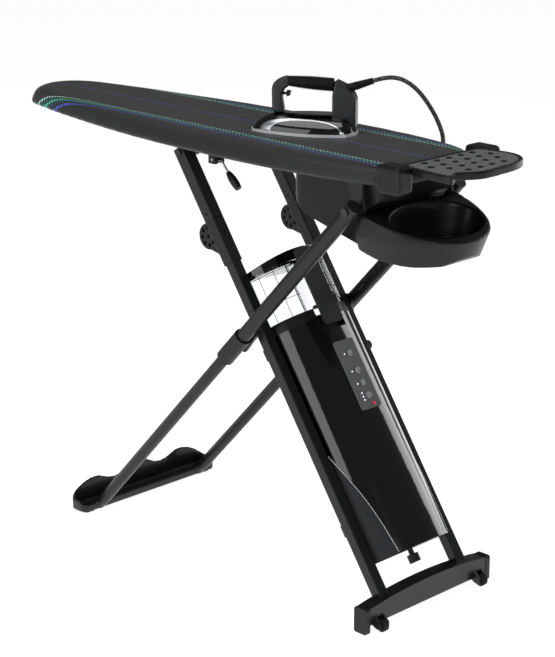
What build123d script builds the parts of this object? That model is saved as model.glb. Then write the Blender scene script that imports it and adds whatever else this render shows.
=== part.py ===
from build123d import *
import math
import os

# Steam ironing system: a padded board on a scissor frame, with a steam generator
# and a lift-off water tank between the inner legs, and a steam iron on the board.
# Millimetres. +X points to the iron tray, -X to the board's nose, +Z is up, and the
# origin is on the floor under the middle of the object.

os.makedirs("parts", exist_ok=True)

# ---- driving dimensions ------------------------------------------------------
HALF_LENGTH = 707.5            # half the distance from the nose to the tray's end
TRAY_LENGTH = 153.0
REAR_X = HALF_LENGTH - TRAY_LENGTH
NOSE_X = -HALF_LENGTH
BOARD_TOP = 977.3
PAD_BOTTOM = 938.5
DECK_TOP = 948.0
DECK_INSET = 10.0

HINGE = (REAR_X - 91.9, 882.8)       # outer legs on the board, (x, z)
PIVOT = (REAR_X - 384.0, 572.0)      # where the legs cross
RUNNER = (REAR_X - 625.2, 917.3)     # inner legs' cross rod under the board
OUTER_Y = 160.3                # centre planes of the legs, each side
INNER_Y = 124.8
OUTER_FOOT = (REAR_X - 891.8, 31.5)
INNER_FOOT = (REAR_X - 19.8, 50.0)

UPPER_TUBE_R = 16.0
LOWER_TUBE_R = 13.5
TUBE_WALL = 1.5
LEG_W = 26.0                   # inner legs' square tube
PIN_R = 5.0
PIN_FIT = 0.05                 # radial clearance of the turning joints

GEN_HALF_W = 108.0             # generator's half-elliptical section
GEN_DEPTH = 80.0
GEN_BACK = -12.5
GEN_BOTTOM = 74.0              # distances along the inner legs from their foot
GEN_TOP = 603.0
SHELL = 2.5

TANK_BOTTOM = 611.0
TANK_TOP = 742.0
LID_TOP = 766.0

IRON_TIP = (REAR_X - 476.0, -64.0)
IRON_TURN = 36.0
IRON_LENGTH = 230.0
IRON_HALF_W = 58.0

HOSE_R = 4.75


def unit(start, end):
    """Direction from one (x, z) point to another."""
    run, rise = end[0] - start[0], end[1] - start[1]
    size = math.hypot(run, rise)
    return (run / size, rise / size)


OUTER_DIR = unit(OUTER_FOOT, HINGE)
INNER_DIR = unit(INNER_FOOT, RUNNER)
OUTER_LENGTH = math.dist(OUTER_FOOT, HINGE)
INNER_LENGTH = math.dist(INNER_FOOT, RUNNER)
PIVOT_ON_OUTER = math.dist(OUTER_FOOT, PIVOT)
PIVOT_ON_INNER = math.dist(INNER_FOOT, PIVOT)


def across(foot, direction, s=0.0, y=0.0):
    """Plane square to a leg at distance s: local X is -Y, local Y faces off the leg."""
    origin = (foot[0] + direction[0] * s, y, foot[1] + direction[1] * s)
    return Plane(origin=origin, x_dir=(0, -1, 0), z_dir=(direction[0], 0, direction[1]))


def beside(foot, direction, y=0.0):
    """Plane in a leg's side view: local X runs up the leg, local Y faces off it."""
    return Plane(origin=(foot[0], y, foot[1]), x_dir=(direction[0], 0, direction[1]), z_dir=(0, 1, 0))


def gen_across(s):
    return across(INNER_FOOT, INNER_DIR, s)


def gen_side(y=0.0):
    return beside(INNER_FOOT, INNER_DIR, y)


def gen_front(offset):
    """Plane parallel to the generator's face: local X is world Y, local Y runs up the leg."""
    plane = gen_across(0)
    return Plane(origin=plane.origin + plane.y_dir * offset, x_dir=(0, 1, 0), z_dir=plane.y_dir)


def side_plane(y):
    """World side view at y: local X is world X, local Y is world Z, normal -Y."""
    return Plane(origin=(0, y, 0), x_dir=(1, 0, 0), z_dir=(0, -1, 0))


def keep(piece, name):
    piece.part.label = name
    export_step(piece.part, f"parts/{name}.step")


NOSE_R, NOSE_ANGLE = 102.0, 14.6      # the nose's arc, and the sides' slope where it ends
CORNER_R, CORNER_ANGLE = 34.0, 26.0   # the rear corners' arcs, and the sides' slope there


def board_outline(inset=0.0):
    """Plan of the board: a round nose, two long curved sides and two rear corners."""
    nose_r, corner_r = NOSE_R - inset, CORNER_R - inset
    nose_turn, corner_turn = math.radians(NOSE_ANGLE), math.radians(CORNER_ANGLE)
    nose_side = (NOSE_X + NOSE_R - nose_r * math.sin(nose_turn), nose_r * math.cos(nose_turn))
    corner_side = (REAR_X - inset - corner_r * (1 - math.sin(corner_turn)), 134 - inset)
    between = [
        (REAR_X - 1000, 139), (REAR_X - 860, 162), (REAR_X - 700, 180), (REAR_X - 400, 188), (REAR_X - 144, 168)]
    upper = [nose_side] + [(x, y - inset) for x, y in between] + [corner_side]
    lower = [(x, -y) for x, y in reversed(upper)]
    nose_slope = (math.cos(nose_turn), math.sin(nose_turn))
    corner_slope = (math.cos(corner_turn), math.sin(corner_turn))
    with BuildSketch() as plan:
        with BuildLine():
            near = Spline(*upper, tangents=[nose_slope, (corner_slope[0], -corner_slope[1])])
            turn_in = JernArc(near @ 1, near % 1, corner_r, CORNER_ANGLE - 90)
            far = Spline(*lower, tangents=[(-corner_slope[0], -corner_slope[1]), (-nose_slope[0], nose_slope[1])])
            turn_out = JernArc(far @ 0, corner_slope, corner_r, 90 - CORNER_ANGLE)
            Line(turn_in @ 1, turn_out @ 1)
            ThreePointArc(far @ 1, (NOSE_X + inset, 0), near @ 0)
        make_face()
    return plan.sketch


# ---- board -------------------------------------------------------------------
outline = board_outline()
deck_outline = board_outline(DECK_INSET)
deck_hole = board_outline(DECK_INSET - 0.3)

CLAMP_X, CLAMP_Y, CLAMP_Z = REAR_X - 0.5, 134.0, 959.0
CLAMP_SIZE = (63.0, 42.0, 58.0)

with BuildPart() as board_deck:
    with BuildSketch(Plane.XY.offset(PAD_BOTTOM)):
        add(deck_outline)
    extrude(amount=DECK_TOP - PAD_BOTTOM)
    with BuildSketch(Plane.XY.offset(PAD_BOTTOM)):
        add(board_outline(DECK_INSET + 2.5))
    extrude(amount=DECK_TOP - PAD_BOTTOM - 2.0, mode=Mode.SUBTRACT)
    with Locations((REAR_X - 160, 0, DECK_TOP)):
        Hole(radius=70, depth=20)
    with BuildSketch(Plane.XY.offset(DECK_TOP)):
        with Locations((REAR_X - 640, 0)):
            with GridLocations(60, 50, 12, 5):
                Circle(6)
    extrude(amount=-20, mode=Mode.SUBTRACT)
    with Locations((CLAMP_X, CLAMP_Y, CLAMP_Z), (CLAMP_X, -CLAMP_Y, CLAMP_Z)):
        Box(CLAMP_SIZE[0] + 1, CLAMP_SIZE[1] + 1, CLAMP_SIZE[2] + 1, mode=Mode.SUBTRACT)
keep(board_deck, "board_deck")

with BuildPart() as board_pad:
    with BuildSketch(Plane.XY.offset(PAD_BOTTOM)):
        add(outline)
    extrude(amount=BOARD_TOP - PAD_BOTTOM)
    fillet(board_pad.faces().sort_by(Axis.Z)[-1].edges(), radius=12)
    with BuildSketch(Plane.XY.offset(PAD_BOTTOM)):
        add(deck_hole)
    extrude(amount=DECK_TOP - PAD_BOTTOM + 0.2, mode=Mode.SUBTRACT)
    with Locations((CLAMP_X, CLAMP_Y, CLAMP_Z), (CLAMP_X, -CLAMP_Y, CLAMP_Z)):
        Box(CLAMP_SIZE[0] + 1, CLAMP_SIZE[1] + 1, CLAMP_SIZE[2] + 1, mode=Mode.SUBTRACT)
keep(board_pad, "board_pad")

with BuildPart() as rear_clamps:
    with Locations((CLAMP_X, CLAMP_Y, CLAMP_Z), (CLAMP_X, -CLAMP_Y, CLAMP_Z)):
        Box(*CLAMP_SIZE)
    fillet(rear_clamps.edges().filter_by(Axis.Y), radius=9)
    fillet(rear_clamps.edges().filter_by(Axis.X), radius=5)
keep(rear_clamps, "rear_clamps")


def tray_outline(inset=0.0):
    """Rounded half-oval of the iron tray behind the board."""
    one_side = [(REAR_X + 66, 127.5 - inset), (REAR_X + 128 - inset, 104 - inset * 0.6), (REAR_X + 147 - inset, 62)]
    other_side = [(x, -y) for x, y in reversed(one_side)]
    front = REAR_X + 0.6 + inset
    with BuildSketch() as plan:
        with BuildLine():
            edge = Spline(
                *one_side, (REAR_X + TRAY_LENGTH - inset, 0), *other_side, tangents=[(1, 0.1), (-1, 0.1)])
            Polyline(edge @ 1, (front, -116 + inset), (front, 116 - inset), edge @ 0)
        make_face()
    return plan.sketch


TRAY_BOTTOM, TRAY_TOP = 970.0, 986.0
STUD_R = 6.0

with BuildPart() as iron_tray:
    with BuildSketch(Plane.XY.offset(TRAY_BOTTOM)):
        add(tray_outline())
    extrude(amount=TRAY_TOP - TRAY_BOTTOM)
    with BuildSketch(Plane.XY.offset(TRAY_TOP)):
        add(tray_outline(8))
    extrude(amount=-4.0, mode=Mode.SUBTRACT)
    with Locations((CLAMP_X, CLAMP_Y, CLAMP_Z), (CLAMP_X, -CLAMP_Y, CLAMP_Z)):
        Box(CLAMP_SIZE[0] + 1, CLAMP_SIZE[1] + 1, CLAMP_SIZE[2] + 1, mode=Mode.SUBTRACT)
keep(iron_tray, "iron_tray")

stud_places = [
    (REAR_X + 24 + 32 * row, (column - 3 + 0.5 * (row % 2)) * 36)
    for row in range(4)
    for column in range(7)
    if abs((column - 3 + 0.5 * (row % 2)) * 36) < (100, 108, 98, 60)[row]
]

with BuildPart() as tray_mat:
    with BuildSketch(Plane.XY.offset(TRAY_TOP - 4.0)):
        add(tray_outline(8.4))
        with Locations((CLAMP_X, CLAMP_Y), (CLAMP_X, -CLAMP_Y)):
            Rectangle(CLAMP_SIZE[0] + 2, CLAMP_SIZE[1] + 2, mode=Mode.SUBTRACT)
        with Locations(*stud_places):
            Circle(STUD_R + 0.3, mode=Mode.SUBTRACT)
    extrude(amount=2.6)
keep(tray_mat, "tray_mat")

with BuildPart() as tray_studs:
    with BuildSketch(Plane.XY.offset(TRAY_TOP - 4.0)):
        with Locations(*stud_places):
            Circle(STUD_R)
    extrude(amount=4.2)
    chamfer(tray_studs.faces().filter_by(Axis.Z).group_by(Axis.Z)[-1].edges(), length=0.8)
keep(tray_studs, "tray_studs")

# ---- blower housing and storage tub under the board --------------------------
HOUSING_HALF_W = 120.0
HOUSING_WALL = 3.0
TUB_RIM = 830.0
TUB_CENTRE = REAR_X - 66.0
TUB_HALF_X, TUB_HALF_Y = 164.0, 146.0

housing_side = [
    (REAR_X - 312, 937.9), (REAR_X - 309, 899), (REAR_X - 292, 863), (REAR_X - 262, 843),
    (REAR_X - 196, 826), (REAR_X - 100, 803), (REAR_X - 96, 862), (REAR_X - 84, 880),
    (REAR_X - 56, 900), (REAR_X - 30, 937.9)]


def housing_block(inset):
    with BuildPart() as block:
        with BuildSketch(side_plane(0)):
            with BuildLine():
                Polyline(*housing_side, close=True)
            make_face()
            if inset:
                offset(amount=-inset, mode=Mode.REPLACE)
        extrude(amount=HOUSING_HALF_W - inset, both=True)
        with BuildSketch(Plane.XY.offset(700)):
            with Locations((REAR_X - 171, 0)):
                RectangleRounded(282 - 2 * inset, 2 * (HOUSING_HALF_W - inset), 46)
        extrude(amount=400, mode=Mode.INTERSECT)
    return block.part


with BuildPart() as blower_housing:
    add(housing_block(0))
    add(housing_block(HOUSING_WALL), mode=Mode.SUBTRACT)
    with Locations((REAR_X - 160, 0, 937)):
        Cylinder(72, 20, mode=Mode.SUBTRACT)
    with BuildSketch(side_plane(HOUSING_HALF_W + 5)):
        with Locations((REAR_X - 215, 880)):
            with GridLocations(9, 1, 8, 1):
                SlotOverall(34, 4, rotation=90)
    extrude(amount=20, mode=Mode.SUBTRACT)
keep(blower_housing, "blower_housing")

TUB_BOTTOM, TUB_HIGH, BOWL_FLOOR = 765.0, 885.0, 789.0

with BuildPart() as storage_tub:
    with BuildSketch(Plane.XY.offset(TUB_BOTTOM)):
        with Locations((TUB_CENTRE, 0)):
            Ellipse(TUB_HALF_X - 24, TUB_HALF_Y - 24)
    with BuildSketch(Plane.XY.offset(TUB_RIM)):
        with Locations((TUB_CENTRE, 0)):
            Ellipse(TUB_HALF_X, TUB_HALF_Y)
    loft()
    with BuildSketch(Plane.XY.offset(TUB_RIM)):
        with Locations((TUB_CENTRE, 0)):
            Ellipse(TUB_HALF_X, TUB_HALF_Y)
    extrude(amount=TUB_HIGH - TUB_RIM)
    with BuildSketch(side_plane(0)):
        with BuildLine():
            Polyline(
                (REAR_X - 97, 798), (REAR_X - 97, 830), (REAR_X - 92, 856), (REAR_X - 80, 876), (REAR_X, 854),
                (REAR_X + 110, 826), (REAR_X + 82, 790), (REAR_X + 62, 778), (REAR_X + 20, 776), (REAR_X - 40, 782),
                close=True)
        make_face()
    extrude(amount=200, both=True, mode=Mode.INTERSECT)
    with BuildSketch(Plane.XY.offset(BOWL_FLOOR)):
        with Locations((REAR_X, 0)):
            Ellipse(72, 104)
    with BuildSketch(Plane.XY.offset(TUB_HIGH + 5)):
        with Locations((REAR_X, 0)):
            Ellipse(76, 126)
    loft(mode=Mode.SUBTRACT)
    with Locations((REAR_X, 0, BOWL_FLOOR)):
        with GridLocations(40, 46, 2, 4):
            Cylinder(4, 6)
keep(storage_tub, "storage_tub")

BLOWER_X = REAR_X - 160.0
MOTOR_Z, MOTOR_TOP = 834.0, 872.0
SHAFT_R = 4.0

with BuildPart() as fan_motor:
    with BuildSketch(Plane.XY.offset(MOTOR_Z)):
        with Locations((BLOWER_X, 0)):
            Circle(55)
    extrude(amount=3)
    with BuildSketch(Plane.XY.offset(MOTOR_Z + 3)):
        with Locations((BLOWER_X, 0)):
            Circle(36)
    extrude(amount=MOTOR_TOP - MOTOR_Z - 3)
    fillet(fan_motor.faces().sort_by(Axis.Z)[-1].edges(), radius=4)
    with BuildSketch(Plane.XY.offset(MOTOR_Z)):
        with Locations((BLOWER_X, 0)):
            with PolarLocations(46, 4, start_angle=45):
                Circle(5)
    extrude(amount=-16)
    with Locations((BLOWER_X, 0, MOTOR_TOP)):
        Cylinder(SHAFT_R + PIN_FIT, 50, mode=Mode.SUBTRACT)
keep(fan_motor, "fan_motor")

FAN_R, FAN_FLOOR, FAN_TOP = 64.0, 884.0, 920.0

with BuildPart() as fan_impeller:
    with BuildSketch(Plane.XY.offset(FAN_FLOOR)):
        with Locations((BLOWER_X, 0)):
            Circle(FAN_R)
    extrude(amount=3)
    with BuildSketch(Plane.XY.offset(FAN_FLOOR)):
        with Locations((BLOWER_X, 0)):
            Circle(12)
    extrude(amount=22)
    with BuildSketch(Plane.XY.offset(FAN_FLOOR + 3)):
        with Locations((BLOWER_X, 0)):
            with PolarLocations(50, 12):
                SlotOverall(24, 2.4, rotation=35)
    extrude(amount=FAN_TOP - FAN_FLOOR - 3)
    with BuildSketch(Plane.XY.offset(FAN_FLOOR)):
        with Locations((BLOWER_X, 0)):
            Circle(SHAFT_R)
    extrude(amount=-(FAN_FLOOR - MOTOR_TOP + 16))
keep(fan_impeller, "fan_impeller")

# ---- slide rails, hinge brackets, height lever and hose fittings ---------------
PLATE_UNDER = DECK_TOP - 2.0
RAIL_Y, RAIL_W, RAIL_DROP = 96.0, 20.0, 16.0
RAIL_START, RAIL_END = REAR_X - 945.0, REAR_X - 590.0

with BuildPart() as slide_rails:
    with BuildSketch(Plane.XY.offset(PLATE_UNDER)):
        with Locations(((RAIL_START + RAIL_END) / 2, RAIL_Y), ((RAIL_START + RAIL_END) / 2, -RAIL_Y)):
            Rectangle(RAIL_END - RAIL_START, RAIL_W)
    extrude(amount=-RAIL_DROP)
    with BuildSketch(Plane.XY.offset(PLATE_UNDER - 2.5)):
        with Locations(((RAIL_START + RAIL_END) / 2, RAIL_Y), ((RAIL_START + RAIL_END) / 2, -RAIL_Y)):
            Rectangle(RAIL_END - RAIL_START + 2, RAIL_W - 4)
    extrude(amount=-RAIL_DROP, mode=Mode.SUBTRACT)
keep(slide_rails, "slide_rails")

BRACKET_OUT, BRACKET_IN = 138.0, 132.0

with BuildPart() as hinge_brackets:
    for side in (1, -1):
        with BuildSketch(side_plane(side * BRACKET_OUT)):
            with BuildLine():
                Polyline((HINGE[0] - 36, PLATE_UNDER), (HINGE[0] - 14, HINGE[1]))
                RadiusArc((HINGE[0] - 14, HINGE[1]), (HINGE[0] + 14, HINGE[1]), -14)
                Polyline((HINGE[0] + 14, HINGE[1]), (HINGE[0] + 10, PLATE_UNDER), (HINGE[0] - 36, PLATE_UNDER))
            make_face()
            with Locations(HINGE):
                Circle(PIN_R, mode=Mode.SUBTRACT)
        extrude(amount=side * (BRACKET_OUT - BRACKET_IN))
        with Locations((HINGE[0] - 13, side * 129.0, PLATE_UNDER - 1.5)):
            Box(46, 2 * (BRACKET_OUT - 129.0), 3)
keep(hinge_brackets, "hinge_brackets")

with BuildPart() as hinge_pins:
    for side in (1, -1):
        for y0, y1, r in ((BRACKET_IN, 176.8, PIN_R), (BRACKET_OUT, 143.9, 9.0), (176.8, 180.0, 9.0)):
            with BuildSketch(side_plane(side * y0)):
                with Locations(HINGE):
                    Circle(r)
            extrude(amount=-side * (y1 - y0))
        with BuildSketch(side_plane(side * (BRACKET_IN - 3))):
            with Locations(HINGE):
                Circle(8)
        extrude(amount=-side * 3)
keep(hinge_pins, "hinge_pins")

LEVER_AT = (REAR_X - 492.0, 925.0)
LEVER_Y = -152.0
LEVER_PIN_R, LEVER_ROD_R = 3.0, 2.6

with BuildPart() as lever_bracket:
    with Locations((LEVER_AT[0], LEVER_Y, (917 + PLATE_UNDER) / 2)):
        Box(20, 28, PLATE_UNDER - 917)
        Box(22, 8, PLATE_UNDER - 917 - 8, mode=Mode.SUBTRACT)
    with Locations((LEVER_AT[0], LEVER_Y, 920)):
        Box(22, 8, 10, mode=Mode.SUBTRACT)
    with BuildSketch(side_plane(LEVER_Y - 20)):
        with Locations(LEVER_AT):
            Circle(LEVER_PIN_R + PIN_FIT)
    extrude(amount=-40, mode=Mode.SUBTRACT)
keep(lever_bracket, "lever_bracket")

GRIP_START = (REAR_X - 456.0, 902.0)
GRIP_END = (REAR_X - 428.0, 876.0)

with BuildPart() as lever_rod:
    with BuildLine() as rod_path:
        FilletPolyline(
            (LEVER_AT[0], LEVER_Y, LEVER_AT[1]), (REAR_X - 476, LEVER_Y, 924),
            (GRIP_START[0], LEVER_Y, GRIP_START[1]), (REAR_X - 446, LEVER_Y, 892.7), radius=(9, 60))
    with BuildSketch(Plane(origin=rod_path.line @ 0, z_dir=rod_path.line % 0)):
        Circle(LEVER_ROD_R)
    sweep()
    with BuildSketch(side_plane(LEVER_Y - 13.5)):
        with Locations(LEVER_AT):
            Circle(LEVER_PIN_R)
    extrude(amount=-27)
keep(lever_rod, "lever_rod")

grip_dir = unit(GRIP_START, GRIP_END)
grip_plane = Plane(
    origin=(GRIP_START[0], LEVER_Y, GRIP_START[1]), x_dir=(0, 1, 0), z_dir=(grip_dir[0], 0, grip_dir[1]))
GRIP_LENGTH = math.dist(GRIP_START, GRIP_END) + 6

with BuildPart() as lever_grip:
    with BuildSketch(grip_plane):
        Circle(5)
    with BuildSketch(grip_plane.offset(GRIP_LENGTH * 0.55)):
        Circle(9)
    with BuildSketch(grip_plane.offset(GRIP_LENGTH)):
        Circle(7)
    loft()
    add(lever_rod.part, mode=Mode.SUBTRACT)
keep(lever_grip, "lever_grip")

COIL_X, COIL_Y, COIL_Z = REAR_X - 245.0, 191.5, 865.6
COIL_IN, COIL_OUT, COIL_HALF = 40.5, 59.5, 9.5
PEG_Z = COIL_Z + COIL_IN - 6.2

with BuildPart() as hose_hook:
    with Locations((COIL_X, 150, PLATE_UNDER - 6)):
        Box(24, 24, 12)
    with Locations((COIL_X, 159, 932)):
        Box(24, 42, 4)
    with Locations((COIL_X, 178, (PEG_Z - 12 + 934) / 2)):
        Box(24, 4, 934 - PEG_Z + 12)
    with BuildSketch(side_plane(178)):
        with Locations((COIL_X, PEG_Z)):
            Circle(6)
    extrude(amount=-28)
    with BuildSketch(side_plane(203.5)):
        with Locations((COIL_X, PEG_Z + 2)):
            Circle(10)
    extrude(amount=-3)
keep(hose_hook, "hose_hook")

GLAND_X, GLAND_Y, GLAND_Z = REAR_X - 309.0, 183.0, 906.0

with BuildPart() as hose_gland:
    with Locations((GLAND_X, 150, PLATE_UNDER - 6)):
        Box(24, 20, 12)
    with Locations((GLAND_X, 164, 930)):
        Box(24, 48, 8)
    with BuildSketch(Plane.XY.offset(GLAND_Z)):
        with Locations((GLAND_X, GLAND_Y)):
            Circle(7)
    with BuildSketch(Plane.XY.offset(926)):
        with Locations((GLAND_X, GLAND_Y)):
            Circle(10)
    loft()
keep(hose_gland, "hose_gland")

# ---- outer legs and front foot ------------------------------------------------
COLLAR_START, COLLAR_END = 630.0, 714.0

for name, side in (("outer_leg_near", -1), ("outer_leg_far", 1)):
    with BuildPart() as outer_leg:
        with BuildSketch(across(OUTER_FOOT, OUTER_DIR, 0, side * OUTER_Y)):
            Circle(LOWER_TUBE_R)
            Circle(LOWER_TUBE_R - TUBE_WALL, mode=Mode.SUBTRACT)
        extrude(amount=COLLAR_START + 40)
        with BuildSketch(across(OUTER_FOOT, OUTER_DIR, COLLAR_START + 40, side * OUTER_Y)):
            Circle(UPPER_TUBE_R)
            Circle(LOWER_TUBE_R - TUBE_WALL, mode=Mode.SUBTRACT)
        extrude(amount=6)
        with BuildSketch(across(OUTER_FOOT, OUTER_DIR, COLLAR_START + 46, side * OUTER_Y)):
            Circle(UPPER_TUBE_R)
            Circle(UPPER_TUBE_R - TUBE_WALL, mode=Mode.SUBTRACT)
        extrude(amount=OUTER_LENGTH + 16 - COLLAR_START - 46)
        with BuildSketch(across(OUTER_FOOT, OUTER_DIR, OUTER_LENGTH + 13, side * OUTER_Y)):
            Circle(UPPER_TUBE_R - TUBE_WALL)
        extrude(amount=3)
        with BuildSketch(side_plane(side * OUTER_Y)):
            with Locations(HINGE):
                Circle(PIN_R + PIN_FIT)
        extrude(amount=20, both=True, mode=Mode.SUBTRACT)
    keep(outer_leg, name)

EAR_IN, EAR_OUT = 138.5, 143.9

with BuildPart() as pivot_collars:
    for side in (1, -1):
        with BuildSketch(across(OUTER_FOOT, OUTER_DIR, COLLAR_START, side * OUTER_Y)):
            Circle(UPPER_TUBE_R + 4)
        extrude(amount=COLLAR_END - COLLAR_START)
        with BuildSketch(side_plane(side * EAR_IN)):
            with BuildLine():
                Polyline(
                    (PIVOT[0] + 16, PIVOT[1] - 6), (PIVOT[0] - 30, PIVOT[1] - 62),
                    (PIVOT[0] - 62, PIVOT[1] - 50), (PIVOT[0] - 16, PIVOT[1] + 8))
                RadiusArc((PIVOT[0] - 16, PIVOT[1] + 8), (PIVOT[0] + 16, PIVOT[1] - 6), 17.6)
            make_face()
        extrude(amount=-side * (EAR_OUT - EAR_IN + 4))
        with BuildSketch(across(OUTER_FOOT, OUTER_DIR, 0, side * OUTER_Y)):
            Circle(LOWER_TUBE_R)
        extrude(amount=COLLAR_START + 40, mode=Mode.SUBTRACT)
        with BuildSketch(across(OUTER_FOOT, OUTER_DIR, COLLAR_START + 40, side * OUTER_Y)):
            Circle(UPPER_TUBE_R)
        extrude(amount=200, mode=Mode.SUBTRACT)
        with BuildSketch(side_plane(side * 130)):
            with Locations(PIVOT):
                Circle(PIN_R)
        extrude(amount=-side * 20, mode=Mode.SUBTRACT)
keep(pivot_collars, "pivot_collars")

with BuildPart() as pivot_bolts:
    for side in (1, -1):
        with BuildSketch(side_plane(side * 127.5)):
            with Locations(PIVOT):
                Circle(PIN_R)
        extrude(amount=-side * (EAR_OUT - 127.5))
        with BuildSketch(side_plane(side * 127.5)):
            with Locations(PIVOT):
                RegularPolygon(9, 6)
        extrude(amount=-side * 8)
keep(pivot_bolts, "pivot_bolts")

FRONT_X0, FRONT_X1, FRONT_HALF = REAR_X - 958.0, REAR_X - 903.0, 213.0
FRONT_LIP, PAD_FEET = 24.0, 4.0

with BuildPart() as front_foot:
    with BuildSketch(Plane.XY.offset(PAD_FEET)):
        with Locations(((FRONT_X0 + FRONT_X1) / 2, 0)):
            RectangleRounded(FRONT_X1 - FRONT_X0, 2 * FRONT_HALF, 16)
    extrude(amount=64)
    with BuildSketch(Plane(origin=(FRONT_X1 + 10, 0, 0), x_dir=(0, 1, 0), z_dir=(1, 0, 0))):
        with BuildLine():
            Spline(
                (-FRONT_HALF - 5, 24), (-196, 46), (-165, 61), (-130, 66), (-96, 54), (-60, 52), (-26, 66),
                (0, 68), (26, 66), (60, 52), (96, 54), (130, 66), (165, 61), (196, 46), (FRONT_HALF + 5, 24))
            Polyline((FRONT_HALF + 5, 24), (FRONT_HALF + 5, 0), (-FRONT_HALF - 5, 0), (-FRONT_HALF - 5, 24))
        make_face()
    extrude(amount=-90, mode=Mode.INTERSECT)
    with BuildSketch(Plane.XY.offset(PAD_FEET + 5)):
        with Locations(((FRONT_X0 + FRONT_X1) / 2, 0)):
            RectangleRounded(FRONT_X1 - FRONT_X0 - 9, 2 * FRONT_HALF - 9, 12)
    extrude(amount=80, mode=Mode.SUBTRACT)
    with BuildSketch(side_plane(0)):
        with BuildLine():
            Polyline(
                (FRONT_X0 + 14, 80), (FRONT_X0 + 20, 40), (FRONT_X1 - 10, FRONT_LIP), (FRONT_X1 + 10, FRONT_LIP),
                (FRONT_X1 + 10, 80), close=True)
        make_face()
    extrude(amount=240, both=True, mode=Mode.SUBTRACT)
    for side in (1, -1):
        with BuildSketch(across(OUTER_FOOT, OUTER_DIR, -30, side * OUTER_Y)):
            Circle(LOWER_TUBE_R - TUBE_WALL)
        extrude(amount=70)
        with BuildSketch(across(OUTER_FOOT, OUTER_DIR, 0, side * OUTER_Y)):
            Circle(LOWER_TUBE_R + 6)
            Circle(LOWER_TUBE_R - TUBE_WALL, mode=Mode.SUBTRACT)
        extrude(amount=40, mode=Mode.SUBTRACT)
    with BuildSketch(Plane.XY.offset(PAD_FEET)):
        Rectangle(2000, 1000)
    extrude(amount=-60, mode=Mode.SUBTRACT)
keep(front_foot, "front_foot")

with BuildPart() as front_foot_pads:
    with BuildSketch():
        with Locations(((FRONT_X0 + FRONT_X1) / 2, 0)):
            with GridLocations(1, 370, 1, 2):
                RectangleRounded(38, 30, 8)
    extrude(amount=PAD_FEET)
keep(front_foot_pads, "front_foot_pads")

# ---- inner legs, rear foot and wheels -------------------------------------------
SLEEVE_START, SLEEVE_END = 787.0, 893.0
ARM_START, ARM_END = 893.4, INNER_LENGTH + 10.0
LEG_WALL = 1.6

for name, side in (("inner_leg_near", -1), ("inner_leg_far", 1)):
    with BuildPart() as inner_leg:
        with BuildSketch(across(INNER_FOOT, INNER_DIR, -16, side * INNER_Y)):
            RectangleRounded(LEG_W, LEG_W, 3)
            RectangleRounded(LEG_W - 2 * LEG_WALL, LEG_W - 2 * LEG_WALL, 1.6, mode=Mode.SUBTRACT)
        extrude(amount=16 + ARM_START + 30)
        with BuildSketch(side_plane(side * 131)):
            with Locations(PIVOT):
                Circle(PIN_R + PIN_FIT)
        extrude(amount=-side * 12, mode=Mode.SUBTRACT)
    keep(inner_leg, name)

with BuildPart() as upper_arms:
    for side in (1, -1):
        with BuildSketch(across(INNER_FOOT, INNER_DIR, ARM_START, side * INNER_Y)):
            RectangleRounded(LEG_W + 5, LEG_W + 5, 3)
            Rectangle(LEG_W + 0.6, LEG_W + 0.6, mode=Mode.SUBTRACT)
            with Locations((0, -LEG_W / 2)):
                Rectangle(LEG_W - 6, 8, mode=Mode.SUBTRACT)
        extrude(amount=ARM_END - ARM_START)
        for s, r in ((INNER_LENGTH, PIN_R), (ARM_START + 14, 3.0)):
            with BuildSketch(gen_side(side * INNER_Y)):
                with Locations((s, 0)):
                    Circle(r)
            extrude(amount=30, both=True, mode=Mode.SUBTRACT)
keep(upper_arms, "upper_arms")

DISC_S, DISC_OFF, DISC_R, DISC_HALF = 866.0, -31.0, 29.0, 8.0

with BuildPart() as arm_sleeves:
    for side in (1, -1):
        with BuildSketch(gen_side(side * INNER_Y)):
            with Locations((DISC_S, DISC_OFF)):
                Circle(DISC_R)
            with BuildLine():
                Polyline(
                    (SLEEVE_START + 22, -12), (DISC_S - 27, DISC_OFF - 10), (DISC_S, DISC_OFF),
                    (SLEEVE_END - 1, -12), close=True)
            make_face()
            with Locations((DISC_S, DISC_OFF)):
                with PolarLocations(19, 8, start_angle=22.5):
                    Circle(4.6, mode=Mode.SUBTRACT)
                Circle(4, mode=Mode.SUBTRACT)
        extrude(amount=DISC_HALF, both=True)
        with BuildSketch(across(INNER_FOOT, INNER_DIR, SLEEVE_START, side * INNER_Y)):
            RectangleRounded(LEG_W + 5, LEG_W + 5, 3)
        extrude(amount=SLEEVE_END - SLEEVE_START)
        with BuildSketch(across(INNER_FOOT, INNER_DIR, SLEEVE_START - 5, side * INNER_Y)):
            RectangleRounded(LEG_W, LEG_W, 3)
        extrude(amount=SLEEVE_END - SLEEVE_START + 10, mode=Mode.SUBTRACT)
keep(arm_sleeves, "arm_sleeves")

ROLLER_R = 13.0

with BuildPart() as slider_bar:
    with BuildSketch(side_plane(-143)):
        with Locations(RUNNER):
            Circle(PIN_R)
    extrude(amount=-286)
    for y0, y1, r in ((-103, -89, ROLLER_R), (89, 103, ROLLER_R), (-143.5, -140.6, 8), (140.6, 143.5, 8)):
        with BuildSketch(side_plane(y0)):
            with Locations(RUNNER):
                Circle(r)
        extrude(amount=y0 - y1)
keep(slider_bar, "slider_bar")

with BuildPart() as cross_bars:
    for s in (150.0, 560.0):
        with BuildSketch(gen_across(s)):
            with Locations((0, -LEG_W / 2 - 2.5)):
                Rectangle(2 * INNER_Y + LEG_W - 6, 4.6)
        extrude(amount=26)
keep(cross_bars, "cross_bars")

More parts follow.
